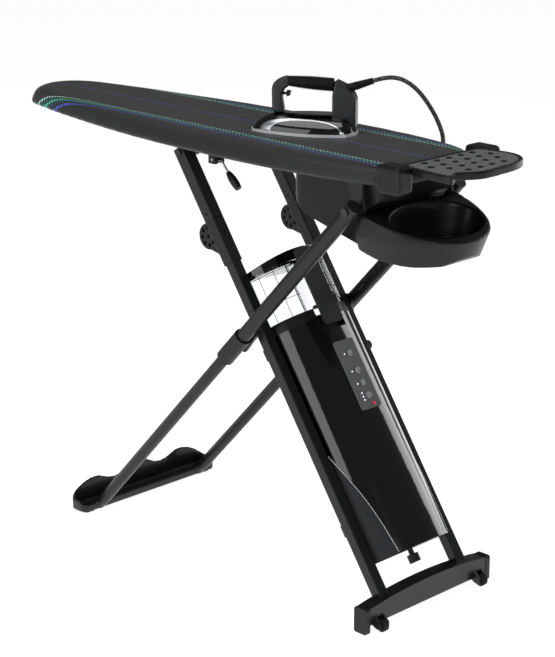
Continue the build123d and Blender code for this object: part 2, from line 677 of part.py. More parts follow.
REAR_HALF, CAP_AT = 200.0, 187.0
REAR_X0, REAR_X1 = REAR_X - 30.0, REAR_X + 3.0
WHEEL_R, WHEEL_W, WHEEL_Y = 13.0, 15.0, 160.0
WHEEL_AT = (REAR_X + 14.0, WHEEL_R + 1.5)
AXLE_R = 3.0

with BuildPart() as rear_foot:
    with BuildSketch(Plane(origin=(REAR_X0, 0, 0), x_dir=(0, 1, 0), z_dir=(1, 0, 0))):
        with BuildLine():
            Line((-CAP_AT, 16), (CAP_AT, 16))
            Line((CAP_AT, 16), (CAP_AT, 56))
            ThreePointArc((CAP_AT, 56), (0, 70), (-CAP_AT, 56))
            Line((-CAP_AT, 56), (-CAP_AT, 16))
        make_face()
    extrude(amount=REAR_X1 - REAR_X0)
    fillet(rear_foot.edges().filter_by(Axis.Y), radius=5)
    for side in (1, -1):
        with Locations((WHEEL_AT[0], side * WHEEL_Y, WHEEL_AT[1])):
            Box(2 * WHEEL_R + 3, WHEEL_W + 1.2, 2 * WHEEL_R + 3, mode=Mode.SUBTRACT)
        for y in (WHEEL_Y - WHEEL_W / 2 - 3.4, WHEEL_Y + WHEEL_W / 2 + 3.4):
            with BuildSketch(side_plane(side * y)):
                with BuildLine():
                    Polyline(
                        (REAR_X1 - 12, 30), (REAR_X1 - 12, 16), (WHEEL_AT[0] - 5, WHEEL_AT[1] - 6),
                        (WHEEL_AT[0] + 6, WHEEL_AT[1] - 6), (WHEEL_AT[0] + 6, WHEEL_AT[1] + 7),
                        (REAR_X1 - 2, 36), close=True)
                make_face()
            extrude(amount=2.8, both=True)
        with BuildSketch(side_plane(side * WHEEL_Y)):
            with Locations(WHEEL_AT):
                Circle(AXLE_R)
        extrude(amount=WHEEL_W / 2 + 3, both=True)
        with BuildSketch(across(INNER_FOOT, INNER_DIR, -16, side * INNER_Y)):
            Rectangle(LEG_W, LEG_W)
        extrude(amount=80, mode=Mode.SUBTRACT)
keep(rear_foot, "rear_foot")

with BuildPart() as rear_foot_caps:
    for side in (1, -1):
        with BuildSketch(side_plane(side * CAP_AT)):
            with Locations(((REAR_X0 + REAR_X1) / 2, 28.6)):
                RectangleRounded(REAR_X1 - REAR_X0 + 2, 57.2, 5)
        extrude(amount=-side * (REAR_HALF - CAP_AT))
keep(rear_foot_caps, "rear_foot_caps")

for name, side in (("wheel_near", -1), ("wheel_far", 1)):
    with BuildPart() as wheel:
        with BuildSketch(side_plane(side * WHEEL_Y)):
            with Locations(WHEEL_AT):
                Circle(WHEEL_R)
                Circle(AXLE_R + PIN_FIT, mode=Mode.SUBTRACT)
        extrude(amount=WHEEL_W / 2, both=True)
        chamfer(wheel.edges().filter_by(GeomType.CIRCLE).sort_by(SortBy.LENGTH)[-2:], length=1.5)
    keep(wheel, name)

# ---- steam generator between the inner legs --------------------------------------


def gen_section(inset=0.0):
    """Half-elliptical section of the generator, with short straight sides."""
    half, depth, back = GEN_HALF_W - inset, GEN_DEPTH - inset, GEN_BACK + inset
    with BuildSketch() as section:
        with BuildLine():
            arch = EllipticalCenterArc((0, 0), half, depth, start_angle=0, arc_size=180)
            Polyline(arch @ 1, (-half, back), (half, back), arch @ 0)
        make_face()
    return section.sketch


with BuildPart() as gen_shell:
    with BuildSketch(gen_across(GEN_BOTTOM)):
        add(gen_section())
    extrude(amount=GEN_TOP - GEN_BOTTOM)
    with BuildSketch(gen_across(GEN_BOTTOM + SHELL)):
        add(gen_section(SHELL))
    extrude(amount=GEN_TOP, mode=Mode.SUBTRACT)


def above_seam(gap):
    """Side view of everything above the seam between the cover and the casing."""
    with BuildSketch() as region:
        with BuildLine():
            seam = Spline(
                (GEN_BOTTOM - 10, 56 + gap), (GEN_BOTTOM + 80, 50 + gap), (257, 30 + gap), (330, 4 + gap),
                (348, GEN_BACK + SHELL + 0.3 + gap))
            Polyline(
                seam @ 1, (GEN_TOP + 20, GEN_BACK + SHELL + 0.3 + gap), (GEN_TOP + 20, 120),
                (GEN_BOTTOM - 10, 120), seam @ 0)
        make_face()
    return region.sketch


PANEL_S0, PANEL_S1, PANEL_HALF = 380.0, 541.0, 30.0
PANEL_TOP, PANEL_THICK = 82.0, 3.0
RECESS_S, RECESS_HALF = 572.0, 36.0

with BuildPart() as generator_cover:
    add(gen_shell.part)
    with BuildSketch(gen_side()):
        add(above_seam(0.0))
    extrude(amount=150, both=True, mode=Mode.INTERSECT)
    with BuildSketch(gen_front(60)):
        with Locations((0, (PANEL_S0 + PANEL_S1) / 2)):
            RectangleRounded(2 * PANEL_HALF, PANEL_S1 - PANEL_S0, 5)
        with Locations((0, (RECESS_S + 640) / 2)):
            Rectangle(2 * RECESS_HALF, 640 - RECESS_S)
    extrude(amount=40, mode=Mode.SUBTRACT)
keep(generator_cover, "generator_cover")

KNOB_OFF, STEM_R = 8.0, 6.0

with BuildPart() as generator_casing:
    add(gen_shell.part)
    with BuildSketch(gen_side()):
        add(above_seam(-0.5))
    extrude(amount=150, both=True, mode=Mode.SUBTRACT)
    with BuildSketch(gen_across(0)):
        with Locations((0, KNOB_OFF)):
            Circle(STEM_R + PIN_FIT)
    extrude(amount=100, mode=Mode.SUBTRACT)
    with BuildSketch(gen_front(-30)):
        with Locations((0, 300)):
            Rectangle(27, 20)
    extrude(amount=25, mode=Mode.SUBTRACT)
keep(generator_casing, "generator_casing")

BUTTON_R = 6.2
BUTTON_SPOTS = {"power_button": 510.0, "fan_button": 469.0, "eco_button": 440.0, "steam_button": 410.0}
BUTTON_Y = 4.0

with BuildPart() as control_panel:
    with BuildSketch(gen_front(PANEL_TOP - PANEL_THICK)):
        with Locations((0, (PANEL_S0 + PANEL_S1) / 2)):
            RectangleRounded(2 * PANEL_HALF - 0.8, PANEL_S1 - PANEL_S0 - 0.8, 5)
        for spot in BUTTON_SPOTS.values():
            with Locations((BUTTON_Y, spot)):
                Circle(BUTTON_R + 0.4, mode=Mode.SUBTRACT)
    extrude(amount=PANEL_THICK)
keep(control_panel, "control_panel")

for name, spot in BUTTON_SPOTS.items():
    with BuildPart() as button:
        with BuildSketch(gen_front(PANEL_TOP - 7)):
            with Locations((BUTTON_Y, spot)):
                Circle(BUTTON_R + 2)
        extrude(amount=3)
        with BuildSketch(gen_front(PANEL_TOP - 7)):
            with Locations((BUTTON_Y, spot)):
                Circle(BUTTON_R)
        extrude(amount=9)
        chamfer(button.edges().filter_by(GeomType.CIRCLE).sort_by(lambda edge: (edge.center() - Vector(
            INNER_FOOT[0], 0, INNER_FOOT[1])).dot(gen_front(0).z_dir))[-1], length=0.8)
    keep(button, name)

with BuildPart() as control_board:
    with BuildSketch(gen_front(62)):
        with Locations((0, 460)):
            Rectangle(50, 150)
    extrude(amount=1.6)
    with BuildSketch(gen_front(63.6)):
        for spot in BUTTON_SPOTS.values():
            with Locations((BUTTON_Y, spot)):
                Rectangle(8, 8)
        with Locations((16, 490), (16, 430)):
            Rectangle(10, 22)
    extrude(amount=5)
keep(control_board, "control_board")

BOILER_OFF, BOILER_R = 30.0, 37.0

with BuildPart() as boiler:
    with BuildSketch(gen_across(120)):
        with Locations((0, BOILER_OFF)):
            Circle(BOILER_R)
    extrude(amount=200)
    chamfer(boiler.edges().filter_by(GeomType.CIRCLE), length=8)
    with BuildSketch(gen_across(218)):
        with Locations((0, BOILER_OFF)):
            Circle(BOILER_R + 3)
    extrude(amount=5)
    with BuildSketch(gen_across(319)):
        with Locations((0, BOILER_OFF), (20, BOILER_OFF + 12)):
            Circle(7)
    extrude(amount=22)
    with BuildSketch(gen_across(104)):
        with Locations((0, KNOB_OFF + 6)):
            Circle(9)
    extrude(amount=30)
keep(boiler, "boiler")

with BuildPart() as pump:
    with BuildSketch(gen_across(360)):
        with Locations((48, 16)):
            Circle(21)
    extrude(amount=74)
    with BuildSketch(gen_across(434)):
        with Locations((48, 16)):
            Circle(7)
    extrude(amount=28)
    with BuildSketch(gen_across(376)):
        with Locations((48, -2)):
            Rectangle(46, 12)
    extrude(amount=42)
keep(pump, "pump")

with BuildPart() as mains_inlet:
    with BuildSketch(gen_front(-30)):
        with Locations((0, 300)):
            Rectangle(26.6, 19.6)
    extrude(amount=20)
    with BuildSketch(gen_front(-30)):
        with Locations((0, 300)):
            Rectangle(20, 14)
    extrude(amount=15, mode=Mode.SUBTRACT)
    with BuildSketch(gen_front(GEN_BACK - 3)):
        with Locations((0, 300)):
            Rectangle(38, 26)
            Rectangle(26.6, 19.6, mode=Mode.SUBTRACT)
    extrude(amount=3)
keep(mains_inlet, "mains_inlet")

DOCK_FLOOR, DOCK_RIM = 603.2, 626.0
TANK_INSET = 3.4

with BuildPart() as tank_dock:
    with BuildSketch(gen_across(DOCK_FLOOR)):
        add(gen_section())
        with Locations((0, 84)):
            Rectangle(2 * RECESS_HALF, 40, mode=Mode.SUBTRACT)
    extrude(amount=DOCK_RIM - DOCK_FLOOR)
    with BuildSketch(gen_across(DOCK_FLOOR + 5)):
        add(gen_section(SHELL))
    extrude(amount=30, mode=Mode.SUBTRACT)
    for side in (1, -1):
        with BuildSketch(gen_across(DOCK_FLOOR)):
            with Locations((side * (GEN_HALF_W + INNER_Y - LEG_W / 2) / 2, 0)):
                Rectangle(INNER_Y - LEG_W / 2 - GEN_HALF_W, 20)
        extrude(amount=DOCK_RIM - DOCK_FLOOR - 4)
    with BuildSketch(gen_front(62)):
        with Locations((0, (RECESS_S + DOCK_FLOOR) / 2 + 0.5)):
            Rectangle(2 * RECESS_HALF - 0.8, DOCK_FLOOR - RECESS_S)
    extrude(amount=3)
    for side in (1, -1):
        with BuildSketch(gen_front(62)):
            with Locations((side * (RECESS_HALF - 1.7), (RECESS_S + DOCK_FLOOR) / 2 + 0.5)):
                Rectangle(2.4, DOCK_FLOOR - RECESS_S)
        extrude(amount=10)
keep(tank_dock, "tank_dock")

CLIP_S, CLIP_Y0 = 527.0, INNER_Y + LEG_W / 2

with BuildPart() as hose_clip:
    with BuildSketch(side_plane(CLIP_Y0)):
        with Locations((INNER_FOOT[0] + INNER_DIR[0] * CLIP_S, INNER_FOOT[1] + INNER_DIR[1] * CLIP_S)):
            Circle(11)
    extrude(amount=-12)
    fillet(hose_clip.faces().sort_by(Axis.Y)[-1].edges(), radius=3)
keep(hose_clip, "hose_clip")

with BuildPart() as drain_knob:
    with BuildSketch(gen_across(44)):
        with Locations((0, KNOB_OFF)):
            Circle(13)
            with PolarLocations(14, 12):
                Circle(1.6, mode=Mode.SUBTRACT)
    extrude(amount=19)
    with BuildSketch(gen_across(63)):
        with Locations((0, KNOB_OFF)):
            Circle(STEM_R)
    extrude(amount=30)
keep(drain_knob, "drain_knob")

# ---- lift-off water tank -----------------------------------------------------------
NOTCH_HALF, NOTCH_FLOOR = 33.0, 50.0
TANK_FOOT = DOCK_FLOOR + 5.4


def tank_section(inset):
    """Generator's section with a channel behind the grip strip."""
    with BuildSketch() as section:
        add(gen_section(inset))
        with Locations((0, NOTCH_FLOOR - (inset - TANK_INSET) + 30)):
            Rectangle(2 * (NOTCH_HALF + inset - TANK_INSET), 60, mode=Mode.SUBTRACT)
    return section.sketch


with BuildPart() as tank_shell:
    with BuildSketch(gen_across(TANK_FOOT)):
        add(tank_section(TANK_INSET))
    extrude(amount=TANK_TOP - TANK_FOOT)
    with BuildSketch(gen_across(TANK_FOOT + SHELL)):
        add(tank_section(TANK_INSET + SHELL))
    extrude(amount=TANK_TOP, mode=Mode.SUBTRACT)
keep(tank_shell, "tank_shell")

with BuildPart() as tank_lid:
    with BuildSketch(gen_across(TANK_TOP + 0.3)):
        add(gen_section())
    extrude(amount=LID_TOP - TANK_TOP - 0.3)
    with BuildSketch(gen_front(-60)):
        with BuildLine():
            ThreePointArc((-GEN_HALF_W - 10, LID_TOP - 14), (0, LID_TOP), (GEN_HALF_W + 10, LID_TOP - 14))
            Polyline(
                (GEN_HALF_W + 10, LID_TOP - 14), (GEN_HALF_W + 10, TANK_TOP), (-GEN_HALF_W - 10, TANK_TOP),
                (-GEN_HALF_W - 10, LID_TOP - 14))
        make_face()
    extrude(amount=200, mode=Mode.INTERSECT)
    with BuildSketch(gen_across(TANK_TOP - 5)):
        add(tank_section(TANK_INSET + SHELL + 0.5))
    extrude(amount=5.4)
keep(tank_lid, "tank_lid")

GRIP_S0, GRIP_HALF, GRIP_IN, GRIP_OUT = 583.0, 27.0, 80.4, 86.0

with BuildPart() as tank_handle:
    with BuildSketch(gen_front(GRIP_IN)):
        with Locations((0, (GRIP_S0 + LID_TOP - 4) / 2)):
            RectangleRounded(2 * GRIP_HALF, LID_TOP - 4 - GRIP_S0, 9)
    extrude(amount=GRIP_OUT - GRIP_IN)
    for s0, s1 in ((TANK_FOOT + 20, TANK_FOOT + 26), (TANK_TOP - 14, TANK_TOP - 6)):
        with BuildSketch(gen_across(s0)):
            with Locations((0, (NOTCH_FLOOR + 0.3 + GRIP_IN) / 2)):
                Rectangle(30, GRIP_IN - NOTCH_FLOOR - 0.3)
        extrude(amount=s1 - s0)
keep(tank_handle, "tank_handle")

with BuildPart() as filter_cartridge:
    with BuildSketch(gen_across(TANK_FOOT + SHELL + 0.3)):
        with Locations((-70, 22)):
            Circle(17)
    extrude(amount=96)
    with BuildSketch(gen_across(TANK_FOOT + SHELL + 0.3)):
        with Locations((-70, 22)):
            Circle(19)
    extrude(amount=14)
keep(filter_cartridge, "filter_cartridge")

# ---- steam iron -----------------------------------------------------------------------
turn = math.radians(IRON_TURN)
IRON_AXIS = (math.cos(turn), math.sin(turn), 0)
iron_plan = Plane(origin=(*IRON_TIP, BOARD_TOP), x_dir=IRON_AXIS, z_dir=(0, 0, 1))
iron_side = Plane(origin=(*IRON_TIP, BOARD_TOP), x_dir=IRON_AXIS, z_dir=(math.sin(turn), -math.cos(turn), 0))


def iron_outline(tip, heel, half):
    """Pointed sole shape from tip to heel along the iron's own axis."""
    length = heel - tip
    one_side = [(heel - 20, half * 0.86), (tip + length * 0.62, half), (tip + length * 0.28, half * 0.70)]
    other_side = [(x, -y) for x, y in reversed(one_side)]
    with BuildSketch() as plan:
        with BuildLine():
            sides = Spline(*one_side, (tip, 0), *other_side)
            ThreePointArc(sides @ 1, (heel, 0), sides @ 0)
        make_face()
    return plan.sketch


SOLE_GAP, SOLE_TOP, BODY_TOP = 0.3, 6.0, 42.0
HEEL_X0, HEEL_X1, HEEL_HALF = 176.0, 227.0, 22.0

with BuildPart() as soleplate:
    with BuildSketch(iron_plan.offset(SOLE_GAP)):
        add(iron_outline(0, IRON_LENGTH, IRON_HALF_W))
    extrude(amount=SOLE_TOP - SOLE_GAP)
keep(soleplate, "soleplate")

heel_profile = [
    (HEEL_X0, 42), (HEEL_X0, 84), (HEEL_X0 + 6, 114), (HEEL_X0 + 28, 104), (HEEL_X1 - 6, 88), (HEEL_X1, 74),
    (HEEL_X1, SOLE_TOP + 0.2), (HEEL_X0, SOLE_TOP + 0.2)]

with BuildPart() as iron_body:
    for height, tip, heel, half in ((SOLE_TOP, 3, 226, 55), (22, 14, 222, 49), (34, 32, 214, 36), (BODY_TOP, 56, 200, 20)):
        with BuildSketch(iron_plan.offset(height)):
            add(iron_outline(tip, heel, half))
    loft()
    with BuildSketch(iron_plan.offset(SOLE_TOP - 1)):
        with Locations(((HEEL_X0 + 250) / 2, 0)):
            Rectangle(250 - HEEL_X0 + 0.6, 2 * HEEL_HALF + 0.6)
    extrude(amount=60, mode=Mode.SUBTRACT)
keep(iron_body, "iron_body")

POST_HALF, CORE_HALF = 13.0, 8.0
STEM_HALF, STEM_IN, STEM_Z = 3.0, 62.0, 82.0
stem_plane = Plane(
    origin=iron_side.from_local_coords(Vector(STEM_IN, STEM_Z, 0)), x_dir=iron_side.z_dir, z_dir=IRON_AXIS)

with BuildPart() as handle_frame:
    with BuildSketch(iron_side):
        with BuildLine():
            Polyline((46, BODY_TOP), (45, 90))
            Spline((45, 90), (58, 112), (82, 120), tangents=[(0, 1), (1, 0.05)])
            Polyline((82, 120), (82, 96))
            Spline((82, 96), (71, 88), (73, BODY_TOP), tangents=[(-1, 0), (0.1, -1)])
            Line((73, BODY_TOP), (46, BODY_TOP))
        make_face()
    extrude(amount=POST_HALF, both=True)
    fillet(handle_frame.edges().filter_by(lambda edge: abs(edge.tangent_at(0.5).dot(iron_side.z_dir)) < 0.01
                                          and edge.center().Z > BOARD_TOP + BODY_TOP + 1
                                          and edge.length > 30), radius=5)
    with BuildSketch(iron_side):
        with BuildLine():
            Polyline(*heel_profile, close=True)
        make_face()
    extrude(amount=HEEL_HALF, both=True)
    with BuildSketch(iron_side):
        with BuildLine():
            Polyline((80, 114), (184, 109), (184, 98), (80, 103), close=True)
        make_face()
    extrude(amount=CORE_HALF, both=True)
    with BuildSketch(stem_plane.offset(-4)):
        Circle(STEM_HALF + PIN_FIT)
    extrude(amount=20, mode=Mode.SUBTRACT)
keep(handle_frame, "handle_frame")

grip_start, grip_end = (82.4, 108.5), (HEEL_X0 - 0.4, 103.0)
along = unit(grip_start, grip_end)

with BuildPart() as handle_grip:
    for reach, tall, wide in ((0.0, 10.5, 13.0), (0.5, 12.0, 15.0), (1.0, 13.5, 15.0)):
        x = grip_start[0] + (grip_end[0] - grip_start[0]) * reach
        z = grip_start[1] + (grip_end[1] - grip_start[1]) * reach
        at = iron_side.from_local_coords(Vector(x, z, 0))
        with BuildSketch(Plane(origin=at, x_dir=iron_side.z_dir, z_dir=IRON_AXIS)):
            Ellipse(wide, tall)
    loft()
    with BuildSketch(iron_side):
        with BuildLine():
            Polyline((80, 114.2), (184, 109.2), (184, 97.8), (80, 102.8), close=True)
        make_face()
    extrude(amount=CORE_HALF + 0.2, both=True, mode=Mode.SUBTRACT)
keep(handle_grip, "handle_grip")

with BuildPart() as steam_trigger:
    with BuildSketch(iron_side):
        with BuildLine():
            Polyline((77, 88), (77, 76), (84, 78), (85.5, 87), close=True)
        make_face()
    extrude(amount=8, both=True)
    with BuildSketch(stem_plane):
        Circle(STEM_HALF)
    extrude(amount=77.5 - STEM_IN)
keep(steam_trigger, "steam_trigger")

BOOT_START, BOOT_END = (218.0, 100.0), (261.0, 114.3)
boot_dir = unit(BOOT_START, BOOT_END)
boot_axis = (IRON_AXIS[0] * boot_dir[0], IRON_AXIS[1] * boot_dir[0], boot_dir[1])
boot_plane = Plane(
    origin=iron_side.from_local_coords(Vector(*BOOT_START, 0)), x_dir=iron_side.z_dir, z_dir=boot_axis)

with BuildPart() as hose_boot:
    with BuildSketch(boot_plane.offset(-12)):
        Circle(9.5)
    with BuildSketch(boot_plane.offset(math.dist(BOOT_START, BOOT_END))):
        Circle(6.2)
    loft()
    with BuildSketch(iron_side):
        with BuildLine():
            Polyline(*heel_profile, close=True)
        make_face()
    extrude(amount=HEEL_HALF, both=True, mode=Mode.SUBTRACT)
keep(hose_boot, "hose_boot")

# ---- steam hose -------------------------------------------------------------------------
boot_end = boot_plane.offset(math.dist(BOOT_START, BOOT_END) + 0.8).origin

hose_route = [
    (boot_end.X, boot_end.Y, boot_end.Z),
    (REAR_X - 245, 104, 1100),
    (REAR_X - 214, 120, 1099),
    (REAR_X - 186, 135, 1080),
    (REAR_X - 167, 152, 1048),
    (REAR_X - 155, 171, 1010),
    (REAR_X - 151, 188, 968),
    (REAR_X - 163, 192, 928),
    (REAR_X - 185.5, 191.5, 893),
]

tail_route = [
    (COIL_X - (COIL_OUT - HOSE_R), COIL_Y, COIL_Z),
    (GLAND_X, GLAND_Y, GLAND_Z - 20),
    (GLAND_X, GLAND_Y, GLAND_Z - 0.2),
]


def corner_radii(route):
    """As large an arc at each point of the route as its two runs leave room for."""
    radii = []
    for before, here, after in zip(route, route[1:], route[2:]):
        run_in, run_out = Vector(*here) - Vector(*before), Vector(*after) - Vector(*here)
        half_turn = math.radians(run_in.get_angle(run_out)) / 2
        radii.append(0.45 * min(run_in.length, run_out.length) / math.tan(half_turn))
    return radii


def hose_along(route):
    with BuildPart() as tube:
        with BuildLine() as path:
            FilletPolyline(*route, radius=corner_radii(route))
        with BuildSketch(Plane(origin=path.line @ 0, z_dir=path.line % 0)):
            Circle(HOSE_R)
        sweep()
    return tube.part


with BuildPart() as hose_tube:
    add(hose_along(hose_route))
keep(hose_tube, "hose_tube")

with BuildPart() as hose_coil:
    with BuildSketch(side_plane(COIL_Y + COIL_HALF)):
        with Locations((COIL_X, COIL_Z)):
            Circle(COIL_OUT)
            Circle(COIL_IN, mode=Mode.SUBTRACT)
    extrude(amount=2 * COIL_HALF)
    add(hose_along(tail_route))
keep(hose_coil, "hose_coil")
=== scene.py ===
import math

import bmesh
import bpy
from mathutils import Matrix, Vector, noise
from mathutils.bvhtree import BVHTree


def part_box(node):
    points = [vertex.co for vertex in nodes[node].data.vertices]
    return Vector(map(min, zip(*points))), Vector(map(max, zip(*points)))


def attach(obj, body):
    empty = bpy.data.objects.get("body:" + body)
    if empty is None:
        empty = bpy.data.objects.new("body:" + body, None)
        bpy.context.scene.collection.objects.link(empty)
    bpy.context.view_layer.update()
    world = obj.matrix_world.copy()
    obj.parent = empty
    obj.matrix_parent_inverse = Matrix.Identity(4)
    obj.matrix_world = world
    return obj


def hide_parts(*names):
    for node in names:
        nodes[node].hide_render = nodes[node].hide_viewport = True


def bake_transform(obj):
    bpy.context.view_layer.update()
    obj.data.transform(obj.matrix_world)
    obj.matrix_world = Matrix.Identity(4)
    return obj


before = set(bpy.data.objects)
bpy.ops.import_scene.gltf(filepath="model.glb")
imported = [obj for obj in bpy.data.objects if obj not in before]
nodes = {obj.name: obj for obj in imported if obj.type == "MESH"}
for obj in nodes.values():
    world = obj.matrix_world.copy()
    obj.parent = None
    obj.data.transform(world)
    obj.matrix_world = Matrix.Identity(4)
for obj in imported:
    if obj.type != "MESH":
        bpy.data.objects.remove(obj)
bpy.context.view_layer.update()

# ---- Studio ----------------------------------------------------------------------
# A pale seamless floor, four broad soft lights and a long lens a little above the
# board, looking along the board from its tray end.
camera_data = bpy.data.cameras.new("camera")
camera_data.lens = 105.46
camera_data.sensor_fit = "VERTICAL"
camera_data.sensor_height = 36
camera_data.clip_end = 60
camera = bpy.data.objects.new("camera", camera_data)
camera.location = (3.0115, -2.868, 1.806)
looks_at = Vector((0.093, 0, 0.5211))
camera.rotation_euler = (looks_at - camera.location).to_track_quat("-Z", "Y").to_euler()
bpy.context.scene.collection.objects.link(camera)
bpy.context.scene.camera = camera

world = bpy.data.worlds.new("studio")
world.use_nodes = True
world.node_tree.nodes["Background"].inputs["Color"].default_value = (1, 1, 1, 1)
# The backdrop is white where the camera sees it, and gives the object little light.
is_seen = world.node_tree.nodes.new("ShaderNodeLightPath").outputs["Is Camera Ray"]
backdrop = world.node_tree.nodes.new("ShaderNodeMath")
backdrop.operation = "MAXIMUM"
backdrop.inputs[1].default_value = 0.12
world.node_tree.links.new(is_seen, backdrop.inputs[0])
world.node_tree.links.new(backdrop.outputs[0], world.node_tree.nodes["Background"].inputs["Strength"])
bpy.context.scene.world = world
bpy.context.scene.view_settings.view_transform = "Standard"


def soft_light(name, place, size, watts):
    """An area light facing the middle of the object."""
    data = bpy.data.lights.new(name, "AREA")
    data.shape = "RECTANGLE"
    data.size, data.size_y = size
    data.energy = watts
    light = bpy.data.objects.new(name, data)
    light.location = place
    light.rotation_euler = (looks_at - Vector(place)).to_track_quat("-Z", "Y").to_euler()
    bpy.context.scene.collection.objects.link(light)


soft_light("overhead", (0.3, -0.9, 3.3), (2.6, 2.0), 38)
soft_light("near_side", (0.05, -3.1, 1.4), (2.2, 2.6), 30)
soft_light("far_side", (0.8, 3.0, 1.4), (1.4, 2.6), 22)
soft_light("tray_end", (3.4, -1.6, 1.6), (0.9, 0.7), 15)


class Wire:
    """A socket of a material, on which sums can be written as plain arithmetic."""

    def __init__(self, tree, socket=None):
        self.tree = tree
        self.socket = socket

    def node(self, kind, settings, sockets, out=0):
        """Adds a node, with its settings first and then its sockets' values or links."""
        made = self.tree.nodes.new(kind)
        for name, value in settings.items():
            setattr(made, name, value)
        for name, value in sockets.items():
            if isinstance(value, Wire):
                self.tree.links.new(value.socket, made.inputs[name])
            else:
                made.inputs[name].default_value = value
        return Wire(self.tree, made.outputs[out])

    def maths(self, operation, *values):
        sockets = dict(enumerate((self, *values)))
        return self.node("ShaderNodeMath", {"operation": operation}, sockets)

    def __add__(self, other):
        return self.maths("ADD", other)

    def __sub__(self, other):
        return self.maths("SUBTRACT", other)

    def __mul__(self, other):
        return self.maths("MULTIPLY", other)

    def __truediv__(self, other):
        return self.maths("DIVIDE", other)

    def __rsub__(self, other):
        return self.node("ShaderNodeMath", {"operation": "SUBTRACT"}, {0: other, 1: self})

    __radd__ = __add__
    __rmul__ = __mul__

    def band(self, centre, half, soft):
        """1 within half of centre, falling to 0 over soft."""
        within = (half + soft - (self - centre).maths("ABSOLUTE")) / soft
        return within.node("ShaderNodeClamp", {}, {0: within})

    def between(self, low, high):
        """Two colours mixed by this mask."""
        low, high = ((*shade, 1) if isinstance(shade, tuple) else shade for shade in (low, high))
        return self.node("ShaderNodeMix", {"data_type": "RGBA"}, {0: self, 6: low, 7: high}, 2)


class Finish:
    """A material with its shader, and the object's own coordinates to pattern it by."""

    def __init__(self, name, **plain):
        self.material = bpy.data.materials.new(name)
        self.material.use_nodes = True
        tree = self.material.node_tree
        self.shader = tree.nodes["Principled BSDF"]
        self.place = Wire(tree, tree.nodes.new("ShaderNodeTexCoord").outputs["Object"])
        for socket, value in plain.items():
            self.shader.inputs[socket.replace("_", " ")].default_value = value

    def link(self, socket, wire):
        wire.tree.links.new(wire.socket, self.shader.inputs[socket])

    def noise(self, scale, detail=2.0):
        sockets = {"Vector": self.place, "Scale": scale, "Detail": detail}
        return self.place.node("ShaderNodeTexNoise", {}, sockets)

    def relief(self, height, strength, distance):
        sockets = {"Height": height, "Strength": strength, "Distance": distance}
        self.link("Normal", self.place.node("ShaderNodeBump", {}, sockets))

    def along(self, axis):
        return self.place.node("ShaderNodeSeparateXYZ", {}, {0: self.place}, "XYZ".index(axis))


# Points closer than this are one point.
JOIN = 0.00002


def shade(colour, factor):
    return tuple(part * factor for part in colour)


def moulded(name, colour, rough, grain=1400.0, depth=0.00006, coat=0.0, varied=0.25, metal=0.0):
    """Moulded plastic or painted metal: slight colour drift, patchy sheen and a fine grain."""
    shiny = coat > 0.5 or metal
    finish = Finish(
        name, Coat_Weight=coat, Coat_Roughness=0.06, Metallic=metal,
        Specular_IOR_Level=0.5 if shiny else 0.22)
    drift = finish.noise(9.0, 3.0)
    finish.link("Base Color", drift.between(shade(colour, 1 - varied), shade(colour, 1 + varied)))
    finish.link("Roughness", rough - 0.06 + 0.12 * finish.noise(38.0, 4.0))
    finish.relief(finish.noise(grain, 2.0), 0.5, depth)
    return finish.material


def dress(material, *names):
    """Gives CAD nodes their material."""
    for name in names:
        for slot in nodes[name].material_slots:
            slot.material = material


def piece(name, mesh, body, material):
    """Puts a finished bmesh in the scene as one smooth piece that rides on a body."""
    data = bpy.data.meshes.new(name)
    mesh.to_mesh(data)
    mesh.free()
    for face in data.polygons:
        face.use_smooth = True
    data.materials.append(material)
    made = bpy.data.objects.new(name, data)
    bpy.context.scene.collection.objects.link(made)
    if body:
        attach(made, body)
    return made


def remeshed(made, voxel):
    """The mesh of a piece, made anew from even faces of about the size of a voxel."""
    remesh = made.modifiers.new("remesh", "REMESH")
    remesh.mode = "VOXEL"
    remesh.voxel_size = voxel
    bpy.context.view_layer.update()
    even = bpy.data.meshes.new_from_object(made.evaluated_get(bpy.context.evaluated_depsgraph_get()))
    made.modifiers.clear()
    return even


def smooth_passes(mesh, verts, passes):
    """Moves points halfway to the mean of their neighbours, several times over."""
    for _ in range(passes):
        bmesh.ops.smooth_vert(
            mesh, verts=verts, factor=0.5, use_axis_x=True, use_axis_y=True, use_axis_z=True)


def rounded(name, node, body, material, voxel, passes):
    """A copy of a CAD node with its corners eased, which stands for the node."""
    copy = bmesh.new()
    copy.from_mesh(nodes[node].data)
    bmesh.ops.remove_doubles(copy, verts=copy.verts, dist=JOIN)
    made = piece(name, copy, None, material)
    data = remeshed(made, voxel)
    eased = bmesh.new()
    eased.from_mesh(data)
    smooth_passes(eased, eased.verts, passes)
    eased.to_mesh(data)
    eased.free()
    for face in data.polygons:
        face.use_smooth = True
    data.materials.clear()
    data.materials.append(material)
    made.data = data
    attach(made, body)
    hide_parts(node)
    return made


floor = bmesh.new()
bmesh.ops.create_grid(floor, x_segments=1, y_segments=1, size=9)
bmesh.ops.translate(floor, verts=floor.verts, vec=(0, 0, -0.0006))
floor_finish = Finish(
    "floor_paper", Base_Color=(0.82, 0.82, 0.82, 1), Emission_Color=(1, 1, 1, 1),
    Emission_Strength=0.87)
floor_finish.link("Roughness", 0.75 + 0.1 * floor_finish.noise(3.0))
piece("floor", floor, None, floor_finish.material)

